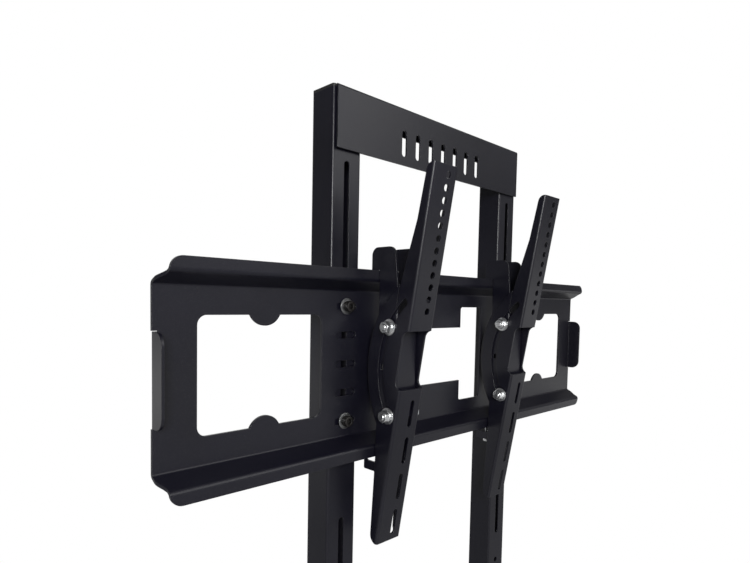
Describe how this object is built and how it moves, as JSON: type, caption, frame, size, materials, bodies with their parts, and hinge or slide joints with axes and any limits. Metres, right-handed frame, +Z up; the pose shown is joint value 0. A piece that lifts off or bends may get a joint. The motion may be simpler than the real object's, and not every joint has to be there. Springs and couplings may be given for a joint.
{
  "type": "mobile tv stand",
  "caption": "Mobile floor stand for a flat screen: slotted twin posts on a castor base, a folded wall plate set by height, and hook-on arms that tilt.",
  "frame": {"origin": "on the floor, under the middle of the stand", "axes": "+X along the wall plate to the right as seen from the front, the screen is on the -Y side, +Z up"},
  "size_m": [0.825, 0.6, 1.6],
  "materials": {
    "black_coat": "semi-gloss black powder coat",
    "black_bolt": "black oxide",
    "zinc": "bright zinc plate",
    "black_plastic": "moulded black nylon",
    "grey_tyre": "soft grey tread"
  },
  "bodies": {
    "stand": {"left_post": "black_coat", "right_post": "black_coat", "top_bar": "black_coat", "post_caps": "black_plastic", "left_foot": "black_coat", "right_foot": "black_coat", "foot_caps": "black_plastic", "base_crossbar": "black_coat", "crossbar_bolts": "black_bolt", "socket_bolts": "black_bolt", "castor_stems": "zinc"},
    "carriage": {"wall_plate": "black_coat", "post_bolts": "black_bolt", "post_washers": "zinc", "post_nuts": "zinc"},
    "left_slider": {"left_hook_bracket": "black_coat", "left_tilt_bolts": "zinc", "left_tilt_washers": "zinc", "left_tilt_nuts": "zinc"},
    "left_tilter": {"left_arm": "black_coat"},
    "left_lock": {"left_lock_screw": "zinc"},
    "right_slider": {"right_hook_bracket": "black_coat", "right_tilt_bolts": "zinc", "right_tilt_washers": "zinc", "right_tilt_nuts": "zinc"},
    "right_tilter": {"right_arm": "black_coat"},
    "right_lock": {"right_lock_screw": "zinc"},
    "front_left_swivel": {"front_left_fork": "black_coat", "front_left_axle": "zinc", "front_left_brake_pin": "zinc"},
    "front_left_wheel": {"front_left_tyre": "grey_tyre", "front_left_hub": "black_plastic"},
    "front_left_pedal": {"front_left_brake_pedal": "black_plastic"},
    "front_right_swivel": {"front_right_fork": "black_coat", "front_right_axle": "zinc", "front_right_brake_pin": "zinc"},
    "front_right_wheel": {"front_right_tyre": "grey_tyre", "front_right_hub": "black_plastic"},
    "front_right_pedal": {"front_right_brake_pedal": "black_plastic"},
    "rear_left_swivel": {"rear_left_fork": "black_coat", "rear_left_axle": "zinc"},
    "rear_left_wheel": {"rear_left_tyre": "grey_tyre", "rear_left_hub": "black_plastic"},
    "rear_right_swivel": {"rear_right_fork": "black_coat", "rear_right_axle": "zinc"},
    "rear_right_wheel": {"rear_right_tyre": "grey_tyre", "rear_right_hub": "black_plastic"}
  },
  "joints": [
    {"name": "plate_height", "type": "slide", "parent": "stand", "child": "carriage", "axis": [0, 0, 1], "range_m": [-0.024, 0.15]},
    {"name": "left_arm_slide", "type": "slide", "parent": "carriage", "child": "left_slider", "axis": [1, 0, 0], "range_m": [-0.23, 0.09]},
    {"name": "left_arm_tilt", "type": "hinge", "parent": "left_slider", "child": "left_tilter", "pos_m": [-0.1488, -0.1666, 1.263], "axis": [1, 0, 0], "range_deg": [-15.8, 0]},
    {"name": "left_lock_travel", "type": "slide", "parent": "left_slider", "child": "left_lock", "axis": [0, 0, 1], "range_m": [0, 0.0275]},
    {"name": "right_arm_slide", "type": "slide", "parent": "carriage", "child": "right_slider", "axis": [1, 0, 0], "range_m": [-0.075, 0.245]},
    {"name": "right_arm_tilt", "type": "hinge", "parent": "right_slider", "child": "right_tilter", "pos_m": [0.0964, -0.1666, 1.263], "axis": [1, 0, 0], "range_deg": [-15.8, 0]},
    {"name": "right_lock_travel", "type": "slide", "parent": "right_slider", "child": "right_lock", "axis": [0, 0, 1], "range_m": [-0.0275, 0]},
    {"name": "front_left_swivel_turn", "type": "hinge", "parent": "stand", "child": "front_left_swivel", "pos_m": [-0.33, -0.225, 0.07], "axis": [0, 0, 1], "continuous": true},
    {"name": "front_left_wheel_roll", "type": "hinge", "parent": "front_left_swivel", "child": "front_left_wheel", "pos_m": [-0.33, -0.245, 0.0325], "axis": [1, 0, 0], "continuous": true},
    {"name": "front_left_brake_press", "type": "hinge", "parent": "front_left_swivel", "child": "front_left_pedal", "pos_m": [-0.33, -0.269, 0.062], "axis": [1, 0, 0], "range_deg": [0, 14]},
    {"name": "front_right_swivel_turn", "type": "hinge", "parent": "stand", "child": "front_right_swivel", "pos_m": [0.33, -0.225, 0.07], "axis": [0, 0, 1], "continuous": true},
    {"name": "front_right_wheel_roll", "type": "hinge", "parent": "front_right_swivel", "child": "front_right_wheel", "pos_m": [0.33, -0.245, 0.0325], "axis": [1, 0, 0], "continuous": true},
    {"name": "front_right_brake_press", "type": "hinge", "parent": "front_right_swivel", "child": "front_right_pedal", "pos_m": [0.33, -0.269, 0.062], "axis": [1, 0, 0], "range_deg": [0, 14]},
    {"name": "rear_left_swivel_turn", "type": "hinge", "parent": "stand", "child": "rear_left_swivel", "pos_m": [-0.33, 0.225, 0.07], "axis": [0, 0, 1], "continuous": true},
    {"name": "rear_left_wheel_roll", "type": "hinge", "parent": "rear_left_swivel", "child": "rear_left_wheel", "pos_m": [-0.33, 0.245, 0.0325], "axis": [1, 0, 0], "continuous": true},
    {"name": "rear_right_swivel_turn", "type": "hinge", "parent": "stand", "child": "rear_right_swivel", "pos_m": [0.33, 0.225, 0.07], "axis": [0, 0, 1], "continuous": true},
    {"name": "rear_right_wheel_roll", "type": "hinge", "parent": "rear_right_swivel", "child": "rear_right_wheel", "pos_m": [0.33, 0.245, 0.0325], "axis": [1, 0, 0], "continuous": true}
  ]
}
